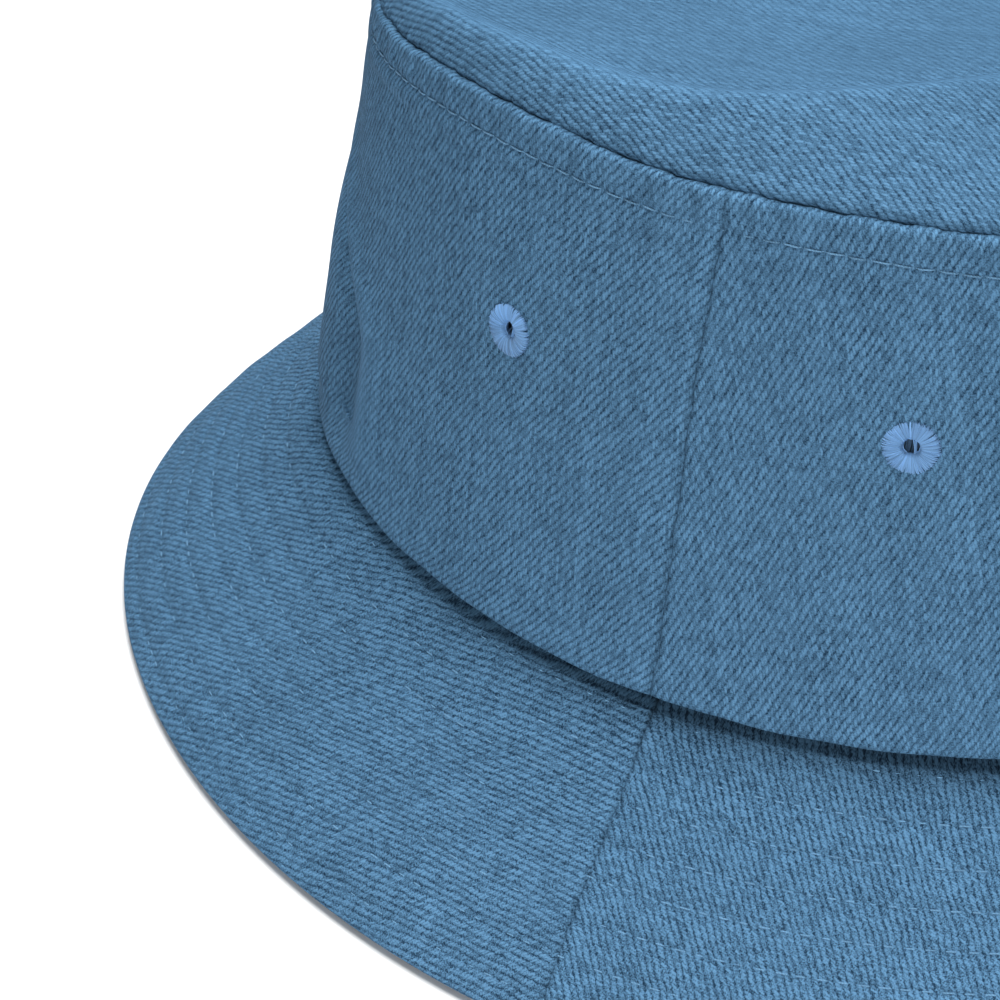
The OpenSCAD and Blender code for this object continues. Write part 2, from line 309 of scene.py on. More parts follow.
def sheet(name, outer, inner, uv, closed=False, centre=False, fade_and_shading=0.0, softened=0.0):
    """A closed sheet of cloth between two grids of points. With centre, the last row of each grid
    closes in a fan round its middle."""
    rows, columns = outer.shape[:2]
    count = rows * columns
    ids = np.arange(count).reshape(rows, columns)
    if closed:
        ids = wrapped(ids)
    if ids.shape != uv.shape[:2]:
        uv = wrapped(uv)
    points = [outer.reshape(-1, 3), inner.reshape(-1, 3)]
    faces = [corners(ids), corners(ids)[:, ::-1] + count]
    uvs = [corners(uv), corners(uv)[:, ::-1]]
    rims = [np.s_[0]] if centre else [np.s_[0], np.s_[-1]]
    if not closed:
        rims += [np.s_[:, 0], np.s_[:, -1]]
    for rim in rims:
        faces.append(corners(np.stack([ids[rim], ids[rim] + count], 1)))
        uvs.append(corners(np.stack([uv[rim], uv[rim]], 1)))
    if centre:
        for layer, grid in enumerate((outer, inner)):
            points.append(grid[-1].mean(0)[None])
            last, middle = ids[-1] + layer * count, np.full(columns, 2 * count + layer)
            faces.append(np.stack([last[:-1], last[1:], middle], -1))
            uvs.append(np.stack([uv[-1, :-1], uv[-1, 1:], np.tile(uv[-1].mean(0), (columns, 1))], 1))
    painted = []
    for values in (fade_and_shading, softened):
        values = np.broadcast_to(values, (rows, columns))
        middles = np.full(2 * centre, values[-1].mean())
        painted.append(np.concatenate([values.ravel(), np.zeros(count), middles]))
    return make_object(name, np.concatenate(points), faces, uvs, *painted, fix_normals=True)


def thickened(theta, out, z, thickness, side):
    """The two faces of a ply whose shown face follows a path of [out, z] rows."""
    run, rise = np.gradient(out, axis=0), np.gradient(z, axis=0)
    length = np.hypot(run, rise) + 1e-9
    back_out = out - side * thickness * rise / length
    back_z = z + side * thickness * run / length
    return place(theta, out, z), place(theta, back_out, back_z)


def dress(piece, node, material):
    """Gives a piece its material, and puts it in a CAD node's place on the hat."""
    piece.data.materials.append(material)
    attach(piece, "hat")
    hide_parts(node)


# ---- Materials ----

class Value:
    """A node's output in plain arithmetic: each operation adds a Math node."""

    def __init__(self, nodes, socket):
        self.nodes, self.socket = nodes, socket

    def __add__(self, other):
        return self.nodes.math("ADD", self, other)

    def __sub__(self, other):
        return self.nodes.math("SUBTRACT", self, other)

    def __rsub__(self, other):
        return self.nodes.math("SUBTRACT", other, self)

    def __mul__(self, other):
        return self.nodes.math("MULTIPLY", self, other)

    def __truediv__(self, other):
        return self.nodes.math("DIVIDE", self, other)

    __radd__ = __add__


class Nodes:
    """Builds a material from Values and numbers."""

    def __init__(self, name):
        self.material = bpy.data.materials.new(name)
        self.material.use_nodes = True
        self.tree = self.material.node_tree
        self.surface = self.tree.nodes["Principled BSDF"]

    def feed(self, socket, value):
        if isinstance(value, Value):
            self.tree.links.new(value.socket, socket)
        else:
            socket.default_value = value

    def node(self, kind, *values, output=0, **settings):
        """Adds a node, feeds its first inputs, and gives one of its outputs."""
        node = self.tree.nodes.new("ShaderNode" + kind)
        for key, setting in settings.items():
            setattr(node, key, setting)
        for socket, value in zip(node.inputs, values):
            self.feed(socket, value)
        return Value(self, node.outputs[output])

    def math(self, operation, *values):
        return self.node("Math", *values, operation=operation)

    def floor(self, value):
        return self.math("FLOOR", value)

    def off_centre(self, value):
        """Where a value lies in its whole-numbered cell, from -0.5 to 0.5."""
        return self.math("FRACT", value) - 0.5

    def yarn_height(self, off_centre):
        """The round back of a yarn: 1 at its middle, 0 at its two sides."""
        square = self.math("POWER", off_centre * 2.0, 2.0)
        return self.math("SQRT", self.math("MAXIMUM", 1.0 - square, 0.0))

    def vector(self, x, y, z=0.0):
        return self.node("CombineXYZ", x, y, z)

    def cloth_uv(self):
        """The two cloth coordinates, in millimetres."""
        cloth = self.node("UVMap", uv_map="cloth")
        return [self.node("SeparateXYZ", cloth, output=axis) for axis in (0, 1)]

    def attribute(self, name):
        return self.node("Attribute", attribute_name=name, output="Fac")

    def noise(self, vector, scale=1.0, detail=2.0):
        """Smooth noise about 0, between about -0.5 and 0.5."""
        return self.node("TexNoise", vector, 0.0, scale, detail) - 0.5

    def dice(self, x, y, z):
        """A different number from 0 to 1 for each set of whole numbers."""
        return self.node("TexWhiteNoise", self.vector(x, y, z), noise_dimensions="3D")

    def mix(self, share, a, b):
        node = self.tree.nodes.new("ShaderNodeMix")
        node.data_type = "RGBA"
        node.clamp_factor = True
        # Inputs 6 and 7 and output 2 are this node's colours
        for number, value in ((0, share), (6, a), (7, b)):
            self.feed(node.inputs[number], value)
        return Value(self, node.outputs[2])

    def scaled(self, colour, factor):
        unused = (0, 0, 0)
        return self.node("VectorMath", colour, unused, unused, factor, operation="SCALE")

    def bump(self, height, distance):
        node = self.tree.nodes.new("ShaderNodeBump")
        node.inputs["Strength"].default_value = 1.0
        node.inputs["Distance"].default_value = distance * MM
        self.feed(node.inputs["Height"], height)
        self.tree.links.new(node.outputs[0], self.surface.inputs["Normal"])

    def finish(self, colour, roughness, sheen=0.0, tint=(1, 1, 1, 1)):
        for name, value in (
            ("Base Color", colour), ("Roughness", roughness), ("Sheen Weight", sheen),
            ("Sheen Roughness", 0.5), ("Sheen Tint", tint), ("Specular IOR Level", 0.06),
        ):
            self.feed(self.surface.inputs[name], value)
        return self.material


def rgb(red, green, blue, gain=1.0):
    """A linear colour from sRGB bytes."""
    def linear(value):
        value /= 255
        return value / 12.92 if value <= 0.04045 else ((value + 0.055) / 1.055) ** 2.4
    return (*(min(1.0, gain * linear(v)) for v in (red, green, blue)), 1.0)


def twill(name, dark, light, contrast, grain, warp=WARP_PITCH, weft=WEFT_PITCH, relief=0.14):
    """Two-up one-down twill, yarn by yarn, in washed denim colours."""
    n = Nodes(name)
    u, v = n.cloth_uv()
    here = n.vector(u, v)
    drift = n.noise(here, 0.09) * 1.3
    sway = n.noise(n.vector(v, u, 7.0), 0.6, 3.0) * 0.5
    fray = n.noise(n.vector(u, v, 9.0), 1.5) * 0.26
    warps = (u + (drift + (sway + fray))) / warp
    wefts = (v + n.noise(n.vector(u, v, 3.0), 0.3) * 0.7) / weft
    yarn = n.floor(warps)
    beside = n.off_centre(warps)
    # Each warp yarn floats over two wefts; its neighbour's float starts one weft higher
    climb = wefts - (yarn + beside * 0.5)
    jitter = n.dice(yarn, n.floor(climb / 3.0), 2.0) - 0.5
    turns = (climb + jitter * 0.5) / 3.0
    from_middle = n.math("ABSOLUTE", n.off_centre(turns) * 3.0)
    arch = n.math("MAXIMUM", 1.0 - n.math("POWER", from_middle / 1.34, 2.2), 0.0)
    warp_height = arch * (0.35 + n.yarn_height(beside) * 0.65)
    height = n.math("MAXIMUM", warp_height, n.yarn_height(n.off_centre(wefts)) * 0.45)
    # Floats differ in paleness, and some gaps between them are filled by pale fluff. The floats' blue is
    # the cloth's own, and the darker colour in the gaps between them is painted shade
    float_share = warp_height * (0.56 + n.dice(yarn, n.floor(turns), 5.0) * 0.66)
    fluff_share = n.dice(yarn, n.floor(turns + 0.5), 8.0) * (1.0 - warp_height) * 0.36
    # Where softened is painted, the cloth loses its contrast towards a middle shade
    crisp = 1.0 - n.attribute("softened")
    patch = crisp * (contrast + n.noise(n.vector(u, v, 5.0), 0.11) * 0.5)
    light_share = 0.46 + (fluff_share + float_share - 0.46) * patch
    fibre = n.noise(n.vector(u * 5.4, v * 4.2, 1.0), 1.0, 3.0)
    mottle = n.noise(n.vector(u * 2.6, v * 2.6, 11.0), 1.0, 1.0)
    slub = n.dice(yarn, 0.0, 1.0) - 0.5
    light_share += crisp * ((fibre + mottle * 0.4) * grain) + slub * 0.12
    cloud = n.noise(here, 0.045, 4.0)
    streak = n.noise(n.vector(u * 0.9, v * 0.3, 4.0), 1.0, 3.0)
    # The first painted per-point value lightens and darkens the cloth: fading and wear, and painted light
    # and shade
    wash = (1.0 + (cloud * 0.25 + streak * 0.13)) * (1.0 + n.attribute("fade_and_shading"))
    n.bump(height + fibre * 0.3, relief * contrast)
    return n.finish(n.scaled(n.mix(light_share, dark, light), wash), 0.9, 0.03, rgb(120, 175, 230))


def thread(name, colour, shine=0.5, twist=2.2):
    """Twisted sewing thread: UV holds millimetres along it and turns round it."""
    n = Nodes(name)
    u, v = n.cloth_uv()
    strand = n.math("SINE", (u * twist + v * 2.0) * (2 * PI))
    shade = 0.9 + (strand * 0.12 + n.attribute("fade_and_shading"))
    n.bump(strand, 0.05)
    return n.finish(n.scaled(colour[:3], shade), shine, 0.04)


def plain_weave(name, colour, pitch, relief=0.1):
    """A plain weave of round yarns, for tape and label."""
    n = Nodes(name)
    u, v = n.cloth_uv()
    check = n.math("SINE", u * (PI / pitch)) * n.math("SINE", v * (PI / pitch))
    grain = n.noise(n.vector(u, v), 3.0, 3.0)
    n.bump(check + grain, relief)
    return n.finish(n.scaled(colour[:3], 1.0 + (check * 0.12 + grain * 0.25)), 0.85, 0.1)


def felt(name, colour):
    """Non-woven stiffener: matted fibres."""
    n = Nodes(name)
    grain = n.noise(n.node("TexCoord", output="Object"), 1800.0, 5.0)
    n.bump(grain, 0.15)
    return n.finish(n.scaled(colour[:3], 1.0 + grain * 0.3), 0.95)


# DARK is painted shade in the gaps between yarns; LIGHT is the floats' own blue
DARK, LIGHT = rgb(36, 64, 90, 0.62), rgb(116, 170, 214, 0.62)
denim_tip = twill("denim_tip", DARK, LIGHT, 0.78, 1.3)
denim_wall = twill("denim_wall", DARK, LIGHT, 0.76, 1.45)
denim_brim = twill("denim_brim", DARK, LIGHT, 0.92, 2.6)
band_twill = twill("band_twill", rgb(28, 40, 60), rgb(66, 90, 122), 0.9, 1.0, 0.3, 0.36, 0.08)
seam_thread = thread("seam_thread", rgb(126, 176, 216, 0.78))
eyelet_thread = thread("eyelet_thread", rgb(120, 165, 214, 1.08), 0.6, 0.0)
tape_weave = plain_weave("tape_weave", rgb(72, 98, 134), 0.35)
label_weave = plain_weave("label_weave", rgb(236, 236, 230), 0.25, 0.04)
stiffener = felt("stiffener", rgb(232, 232, 226))


# ---- Crown tip ----

CREST_NEAR, CREST_FAR = 5.5, 36.0
MEAN_CREST, CREST_TILT = 8.3, 2.2  # the soft crest's height above the seam, and its fall to the back
TIP_BULGE = 1.35  # the tip cloth's distance inside the wall's top edge
TIP_START = 1.6  # and its height above it, where the open surface starts
TIP_GRAIN = 7.7  # turn of the tip's grain, in degrees


def crest_inset(theta):
    """Distance of the soft crest inside the seam: small at the back, large at the front."""
    return CREST_NEAR + CREST_FAR / (1 + np.exp(4.6 * (np.sin(theta) + 0.2)))


def tip_height(theta, inset):
    """Height above the seam ring at a distance inside it."""
    start = TIP_BULGE + 0.1
    crest = crest_inset(theta)
    high = MEAN_CREST - CREST_TILT * np.sin(theta) * (1 - smooth(inset, crest + 4, 72))
    climb = np.sin(PI / 2 * np.clip((inset - start) / (crest - start), 0, 1)) ** 0.8
    dish = 2.2 * smooth(inset, crest - 3, crest + 5) + 2.8 * smooth(inset, crest + 2, crest + 42)
    return TIP_START + (high - TIP_START) * climb - dish


def tip_rows(theta, reach):
    """Distance inside the seam ring and height above it, row by row: the allowance inside the wall,
    the roll over the seam, then the open surface."""
    length = arc(theta)
    wander = 0.2 * ripple(length / 2.3) + 0.25 * ripple(length / 0.5, 0, 3)
    hidden = [(FOLD, -ALLOWANCE), (FOLD, -6.0), (FOLD, -3.0), (FOLD + 0.05, -1.4)]
    roll = [(FOLD - 0.1, -0.9), (1.5, -0.5), (1.2, -0.15), (1.02, 0.03)]
    roll += [(0.92, 0.25), (0.9, 0.6), (1.05, 1.15)]
    insets = [np.full_like(theta, inset) for inset, _ in hidden]
    insets += [inset + wander * min(height + 1, 1) for inset, height in roll]
    heights = [np.full_like(theta, height) for _, height in hidden + roll]
    plain = steps(TIP_BULGE, (6, 0.4), (50, 1.4), (reach.min() - 2, 2.6))[:, None]
    oval_to_round = (reach / reach.min()) ** smooth(plain, 0, 60)
    open_inset = plain * oval_to_round + wander * hump(plain, TIP_BULGE, 3)
    return np.concatenate(insets + [open_inset]), np.concatenate(heights + [tip_height(theta, open_inset)])


def crown_tip():
    theta = np.linspace(0, 2 * PI, 721)[:-1][None, :]
    rim_x, rim_y = oval(theta, top_out(theta))
    reach = np.hypot(rim_x, rim_y)
    inset, height = tip_rows(theta, reach)
    ring_z = top_z(theta)
    level = ring_z + (WALL_TOP - ring_z) * smooth(inset, 4, 55)
    share = 1 - inset / reach
    x, y = rim_x * share, rim_y * share
    z = level + height + 0.45 * smooth(inset, 3, 14) * ripple(x / 15, y / 19)
    z += 0.12 * ripple(arc(theta) / 2.6, 0, 5) * hump(inset, 3, 3)
    outer = np.stack([x, y, z], -1)
    normal = np.cross(np.gradient(outer, axis=1), np.gradient(outer, axis=0))
    normal /= np.linalg.norm(normal, axis=-1, keepdims=True) + 1e-9
    inner = outer - np.sign(normal[-1, 0, 2]) * PLY * normal
    # The cloth's own measure runs outward from the middle, along the surface
    lengths = np.linalg.norm(np.diff(outer, axis=0), axis=-1)
    from_middle = np.hypot(x[-1], y[-1]) + np.concatenate([np.cumsum(lengths[::-1], 0)[::-1], 0 * x[-1:]])
    uv = turned(from_middle * rim_x / reach, from_middle * rim_y / reach, TIP_GRAIN)
    # Painted highlight: paler and softer along the crest. Painted shade down in the seam, and over the
    # whole tip, lifted again over the dish beyond the crest
    crest = crest_inset(theta)
    band = hump(inset, crest - 0.2, 3.0)
    fade_and_shading = 0.28 * band - 0.2 * (1 - smooth(height, -0.1, 0.55)) - 0.12
    fade_and_shading += 0.1 * smooth(inset, crest - 2, crest + 6)
    softened = 0.50 * smooth(inset, crest, crest + 9) + 0.45 * band
    softened += 0.3 * hump(degrees_of(theta), 240, 40) * smooth(inset, 2, 8) * (1 - softened)
    piece = sheet("denim_crown_tip", outer, inner, uv, closed=True, centre=True, fade_and_shading=fade_and_shading, softened=softened)
    dress(piece, "crown_tip", denim_tip)


# ---- Side wall ----

def seam_theta(height, side):
    """Direction of the right (-1) or left (+1) side seam at a height above the wall's foot."""
    low, high = SEAM_SWING
    swing = low + (high - low) * height / WALL + 0.013 * smooth(height / WALL, 0.6, 1.0)
    return PI + swing if side < 0 else -swing


def crease_line(share):
    """Direction, in degrees, of the soft upright fold at the back right of the wall."""
    return 119 + 20 * fall(share, 0.30, 0.70)


def crease_reach(share):
    """How strong the fold is at a share of the wall's height."""
    return smooth(share, 0.02, 0.14) * fall(share, 0.55, 0.78)


def wall_crease(degrees, share):
    """The fold's ridge and valley, the fullness beside it, and the wall's lean above it."""
    line = crease_line(share)
    fold = (1.2 * hump(degrees, line + 3, 4) - 2.4 * hump(degrees, line - 4, 4)) * crease_reach(share)
    full = 1.7 * hump(degrees, line - 16, 9) * smooth(share, 0.02, 0.14) * fall(share, 0.35, 0.66)
    return fold + full - 0.8 * hump(degrees, 118, 14) * smooth(share, 0.78, 1.0)


def top_puckers(theta, below_top):
    """Small waves of the cloth between the tip seam and its topstitch."""
    return hump(below_top, 3.0, 2.4) * ripple(arc(theta) / 1.3, below_top / 3, 1)


def wall_relief(theta, height, from_seam):
    """How far the wall's face stands proud of its plain cone."""
    below_top = WALL - height
    seat = 0.35 * fall(below_top, ALLOWANCE - 0.6, ALLOWANCE + 1.2)
    seat += 0.30 * fall(height, ALLOWANCE - 0.5, ALLOWANCE + 1.5)
    seat += 0.45 * hump(height, 0.8, 4.5)
    groove = -0.42 * hump(below_top, TOPSTITCH_DROP, 0.75)
    pucker = 0.40 * top_puckers(theta, below_top)
    pucker += 0.20 * np.exp(-np.abs(from_seam) / 3.2) * ripple(height / 1.35, 0, 4) * smooth(height, 2, 8)
    ridge = 0.16 * hump(from_seam, 2.2, 2.0) + 0.15 * fall(from_seam, 7.5, 10)
    hang = 0.45 * ripple(arc(theta) / 23, height / 30) * smooth(height, 4, 25) * smooth(below_top, 4, 25)
    return seat + groove + pucker + ridge + hang + wall_crease(degrees_of(theta), height / WALL)


EDGE_ROUND = 0.38  # radius of a folded edge where two panels meet
FOLD_RADIUS = 0.9  # of the wall's folded foot and top
FACE_START = 0.6  # height of the face's first row
CLEAR_OF_SEAM = 40.0  # a distance at which a side seam no longer shapes the cloth


def edge_drop(distance, radius=EDGE_ROUND):
    """How far a folded edge falls away at a distance from it."""
    near = np.clip(radius - distance, 0, radius)
    return 0.6 * (radius - np.sqrt(radius ** 2 - near ** 2))


def seam_columns(length):
    """Places from 0 to 1 across a panel, crowded at its ends, and their distance from a side seam."""
    ends = steps(0, (1.2, 0.2), (4, 0.5), (length / 2, 0.95))
    places = np.concatenate([ends / length, 1 - ends[::-1][1:] / length])[None, :]
    return places, np.minimum(places, 1 - places) * length


def wall_rows():
    """Height and depth of each row: the turned-up hem, its fold, the face, the top fold and the
    turned-down allowance. The last value is the number of the face's first row."""
    top = WALL - FOLD_RADIUS
    face = steps(FACE_START, (9, 0.7), (WALL - 12, 0.95), (top, 0.32))
    bend = np.linspace(0, PI, 9)[1:-1]
    inside = np.full(4, 2 * FOLD_RADIUS)
    heights = [
        [ALLOWANCE, 5, 2, FACE_START], FACE_START - 0.95 * np.sin(bend), face,
        top + FOLD_RADIUS * np.sin(bend), [top, WALL - 3, WALL - 6, WALL - ALLOWANCE],
    ]
    depths = [inside, FOLD_RADIUS * (1 + np.cos(bend)), 0 * face, FOLD_RADIUS * (1 - np.cos(bend)), inside]
    return np.concatenate(heights)[:, None], np.concatenate(depths)[:, None], len(inside) + len(bend)


def wall_paint(theta, heights, depths, from_seam):
    """Painted light and shade, with wear: pale on folds and edges, dark down in the seams."""
    below_top, degrees, share = WALL - heights, degrees_of(theta), heights / WALL
    line, reach = crease_line(share), crease_reach(share)
    # Wear pales the top edge; painted shade darkens the topstitch's groove
    fade_and_shading = 0.03 + 0.04 * hump(below_top, 0.8, 0.8) - 0.03 * hump(below_top, TOPSTITCH_DROP, 0.6)
    # Painted shade inside the folds and under the wall's foot
    fade_and_shading = fade_and_shading - 0.4 * smooth(depths, 0.3, 1.2) - 0.15 * fall(heights, -0.2, 0.8)
    # Painted highlight on the side seam's ridges and painted shade in the seam
    fade_and_shading = fade_and_shading + 0.06 * hump(from_seam, 1.4, 0.9) - 0.3 * hump(from_seam, 0.0, 0.65)
    # Puckers painted lighter and darker with their waves; the back right painted darker as shade
    fade_and_shading = fade_and_shading + 0.12 * top_puckers(theta, below_top) - 0.06 * hump(degrees, 135, 35)
    # Painted highlight on the upright fold's ridge, with softened contrast, and painted shade in its
    # valley
    fade_and_shading = fade_and_shading + reach * (0.28 * hump(degrees, line + 1, 3) - 0.16 * hump(degrees, line - 6, 4))
    return fade_and_shading, 0.7 * reach * hump(degrees, line + 1, 4)


def wall_panel(half, middle, turn):
    places, from_seam = seam_columns(WALL_CLOTH)
    heights, depths, first = wall_rows()
    right, left = seam_theta(heights, -1), seam_theta(heights, 1)
    start, end = (right, left + 2 * PI) if middle == FRONT else (left, right)
    theta = start + (end - start) * places + np.where(places < 0.5, -1, 1) * SEAM_LAP
    theta += 0.22 / SIDE_RADIUS * ripple(heights / 2.2, 0, 3) * np.exp(-from_seam / 4)
    length = arc(theta)
    shown = fall(depths, 0.8, 1.7)
    out, z = wall_profile(theta, heights, depths)
    out += wall_relief(theta, heights, from_seam) * shown
    out -= edge_drop(from_seam) * shown * smooth(WALL - heights, 3.5, 6.5)
    # The foot lifts off the brim unevenly, and the top edge waves
    lift = 0.7 + 0.5 * hump(degrees_of(theta), 150, 22)
    z += (lift + 0.35 * ripple(length / 7, 0, 8)) * hump(heights, 0, 3.5) * shown
    wave = 0.2 * ripple(length / 1.5, 0, 2) + 0.2 * ripple(length / 5, 0, 6)
    z += wave * smooth(heights, WALL - 4, WALL - 1)
    # The side seam's pressed-open allowances double the cloth beside it
    doubled = (heights > ALLOWANCE + 1) & (heights < WALL - ALLOWANCE - 1)
    doubled = fall(from_seam, ALLOWANCE - 1, ALLOWANCE + 1) * shown * doubled
    outer, inner = thickened(theta, out, z, PLY + 0.85 * doubled, 1)
    mean_in = (TOP_IN_SIDE + TOP_IN_END) / 2
    growth = -2 * PI * mean_in / np.hypot(WALL, mean_in)
    path = np.cumsum(np.concatenate([[0], np.hypot(np.diff(heights[:, 0]), np.diff(depths[:, 0]))]))
    path = np.broadcast_to(path[:, None] - path[first] + FACE_START / 2, theta.shape)
    fade_and_shading, softened = wall_paint(theta, heights, depths, from_seam)
    uv = flat_cloth(theta, path, middle, growth, turn)
    piece = sheet(f"denim_crown_{half}", outer, inner, uv, fade_and_shading=fade_and_shading, softened=softened)
    for eyelet in EYELETS:
        if (eyelet["theta"] > PI) == (middle == FRONT):
            drill(piece, eyelet)
    dress(piece, f"crown_{half}_panel", denim_wall)


def drill(piece, eyelet):
    """Cuts an eyelet's air hole through a wall panel."""
    bpy.ops.mesh.primitive_cylinder_add(vertices=32, radius=(HOLE_RADIUS + 0.35) * MM, depth=12 * MM)
    cutter = bpy.context.object
    cutter.matrix_world = eyelet_matrix(eyelet)
    cut = piece.modifiers.new("hole", "BOOLEAN")
    cut.operation = "DIFFERENCE"
    cut.object = cutter
    cut.solver = "EXACT"
    bpy.context.view_layer.objects.active = piece
    bpy.ops.object.modifier_apply(modifier="hole")
    bpy.data.objects.remove(cutter)


# ---- Eyelets ----

HOLE_RADIUS = 1.5
EYELET_THREADS = 190
DEEP_THREADS, TUFT_THREADS = 18, 4
EYELET_SIDES, STITCH_SIDES = 5, 6  # corners of a thread's cross-section
# Painted shade: the threads deep in the hole are painted this much darker, for the hole's dark inside
DEEP_SHADE = -0.62  # how much darker the threads deep in the hole are


def find_eyelet(node):
    """Where a CAD eyelet sits on the cloth wall: its direction and its height above the foot."""
    low, high = box_mm(node)
    x, y, z = (low + high) / 2
    theta = math.atan2(y, x + math.copysign(ARC_SHIFT, x)) % (2 * PI)
    settled = 0.55 - 1.36 * math.sin(theta)
    return {"node": node, "theta": theta, "height": (z - RISE) / (WALL_TOP - RISE) * WALL + settled}


EYELETS = [find_eyelet(f"eyelet_{end}_{side}") for end in ("front", "back") for side in ("left", "right")]


def eyelet_axes(eyelet):
    """The eyelet's centre on the wall's face, and its sideways, upward and outward directions."""
    theta, height = np.array([eyelet["theta"]]), eyelet["height"]
    relief = wall_relief(theta, height, CLEAR_OF_SEAM)
    points = [place(theta, *wall_profile(theta, h, -relief))[0] for h in (height - 1, height, height + 1)]
    up = points[2] - points[0]
    up /= np.linalg.norm(up)
    sideways = np.array([-math.sin(theta[0]), math.cos(theta[0]), 0])
    return points[1], sideways, up, np.cross(sideways, up)


def eyelet_matrix(eyelet):
    centre, sideways, up, outward = eyelet_axes(eyelet)
    columns = np.column_stack([sideways, up, outward])
    return Matrix.Translation(Vector(centre * MM)) @ Matrix(columns.tolist()).to_4x4()


def tubes(paths, radii, sides=STITCH_SIDES):
    """Round tubes along many paths at once: paths (n, m, 3), radii (n, m) or (m,)."""
    count, rings = paths.shape[:2]
    along = np.gradient(paths, axis=1)
    along /= np.linalg.norm(along, axis=-1, keepdims=True) + 1e-9
    reference = np.broadcast_to(np.array([0.0, 0.0, 1.0]), along.shape)
    flat = np.abs(along[..., 2:]) > 0.97
    reference = np.where(flat, [1.0, 0.0, 0.0], reference)
    across = np.cross(along, reference)
    across /= np.linalg.norm(across, axis=-1, keepdims=True) + 1e-9
    upward = np.cross(across, along)
    angle = np.linspace(0, 2 * PI, sides + 1)[:-1]
    radii = np.broadcast_to(radii, paths.shape[:2])[..., None, None]
    ring = across[..., None, :] * np.cos(angle)[:, None] + upward[..., None, :] * np.sin(angle)[:, None]
    points = (paths[..., None, :] + radii * ring).reshape(-1, 3)
    ids = np.arange(rings * sides).reshape(rings, sides)
    ends = np.stack([ids[0, ::-1], ids[-1]])
    offsets = (np.arange(count) * rings * sides)[:, None, None]
    faces = [(corners(wrapped(ids)) + offsets).reshape(-1, 4), (ends + offsets).reshape(-1, sides)]
    length = np.concatenate([[0], np.cumsum(np.linalg.norm(np.diff(paths[0], axis=0), axis=-1))])
    uv = np.stack(np.meshgrid(length, np.arange(sides + 1) / sides, indexing="ij"), -1)
    return points, faces, [np.tile(corners(uv), (count, 1, 1)), np.zeros((2 * count, sides, 2))]


def merge(parts):
    """Joins several sets of points, faces and UVs."""
    points, faces, uvs, start = [], [], [], 0
    for part_points, part_faces, part_uvs in parts:
        points.append(part_points)
        faces += [face + start for face in part_faces]
        uvs += part_uvs
        start += len(part_points)
    return np.concatenate(points), faces, uvs


def eyelet_ring(radius, proud, depth):
    """Satin stitches round the hole: paths in [sideways, up, outward] millimetres."""
    angle = np.linspace(0, 2 * PI, EYELET_THREADS + 1)[:-1] + rng.normal(0, 0.007, EYELET_THREADS)
    outer = radius + rng.normal(0, 0.07, EYELET_THREADS) + 0.12 * ripple(2 * angle, 0, 1)
    lean = rng.normal(0, 0.03, EYELET_THREADS)
    start = HOLE_RADIUS - 0.15 + 0.15 * ripple(3 * angle, 0, 2)
    t = np.linspace(0, 1, 13)
    r = start[:, None] + (outer - start)[:, None] * np.sin(PI / 2 * t) ** 1.2
    crown = np.sin(PI * np.clip(0.06 + 0.94 * t, 0, 1)) ** 0.55
    lift = depth - 0.12 + (proud + rng.normal(0, 0.03, EYELET_THREADS))[:, None] * crown
    r[:, 0] -= 0.1
    lift[:, 0] -= 0.7
    swing = angle[:, None] + lean[:, None] * t
    paths = np.stack([r * np.cos(swing), r * np.sin(swing), lift], -1)
    return tubes(paths, 0.078 + 0.04 * np.sin(PI * t ** 0.8), EYELET_SIDES)


def crossing_threads():
    """Fluff deep in the hole, then a tuft of loose threads across it."""
    t = np.linspace(0, 1, 9)
    paths = []
    for number in range(DEEP_THREADS + TUFT_THREADS):
        deep = number < DEEP_THREADS
        offset = rng.uniform(-1.3, 1.3) if deep else rng.normal(0.38, 0.1)
        half = math.sqrt(HOLE_RADIUS ** 2 - min(offset, 1.3) ** 2) + 0.1
        slant = rng.normal(0.0, 0.25)
        sideways = offset + slant * (t - 0.5) + 0.12 * np.sin(PI * t)
        sag = 1.5 if deep else 0.35
        paths.append(np.stack([sideways, half * (2 * t - 1), -0.1 - sag * np.sin(PI * t) ** 0.5], -1))
    return tubes(np.array(paths), 0.1, EYELET_SIDES)


def eyelet_piece(eyelet):
    low, high = box_mm(eyelet["node"])
    radius = (high[2] - low[2]) / 2
    front = eyelet_ring(radius, 0.5, 0.06)
    points, faces, uv = eyelet_ring(radius - 0.6, 0.5, 0.0)
    back = (points * [1, -1, -1] - [0, 0, PLY + 0.1], [f[:, ::-1] for f in faces], uv)
    crossing = crossing_threads()
    points, faces, uv = merge([front, back, crossing])
    centre, sideways, up, outward = eyelet_axes(eyelet)
    world = centre + points @ np.stack([sideways, up, outward])
    per_thread = len(front[0]) // EYELET_THREADS
    fade_and_shading = np.repeat(rng.normal(-0.02, 0.1, len(points) // per_thread + 1), per_thread)[:len(points)]
    deep = len(front[0]) + len(back[0])
    # The deep threads get painted shade, for the dark inside of the hole
    fade_and_shading[deep:deep + len(crossing[0]) * DEEP_THREADS // (DEEP_THREADS + TUFT_THREADS)] = DEEP_SHADE
    side = eyelet["node"].removeprefix("eyelet_")
    piece = make_object(f"stitched_eyelet_{side}", world, faces, uv, fade_and_shading)
    dress(piece, eyelet["node"], eyelet_thread)


# ---- Brim ----

DITCH = 0.035  # share of the brim's width where it leaves the ditch by the wall


def brim_relief(theta, share):
    """Quilting between the rows of stitching, and the cloth's slow waves."""
    distance = row_distance(share)
    length = arc(theta)
    puff = 0.34 * (1 - hump(distance, 0, 1.0))
    wave = 0.16 * ripple(length / 3.1, share * 9, 2) * (1 - hump(distance, 0, 1.6))
    sway = 0.35 * ripple(length / 31, share * 2, 6) * smooth(share, 0.1, 0.5) * fall(share, 0.7, 0.98)
    return puff + wave + sway


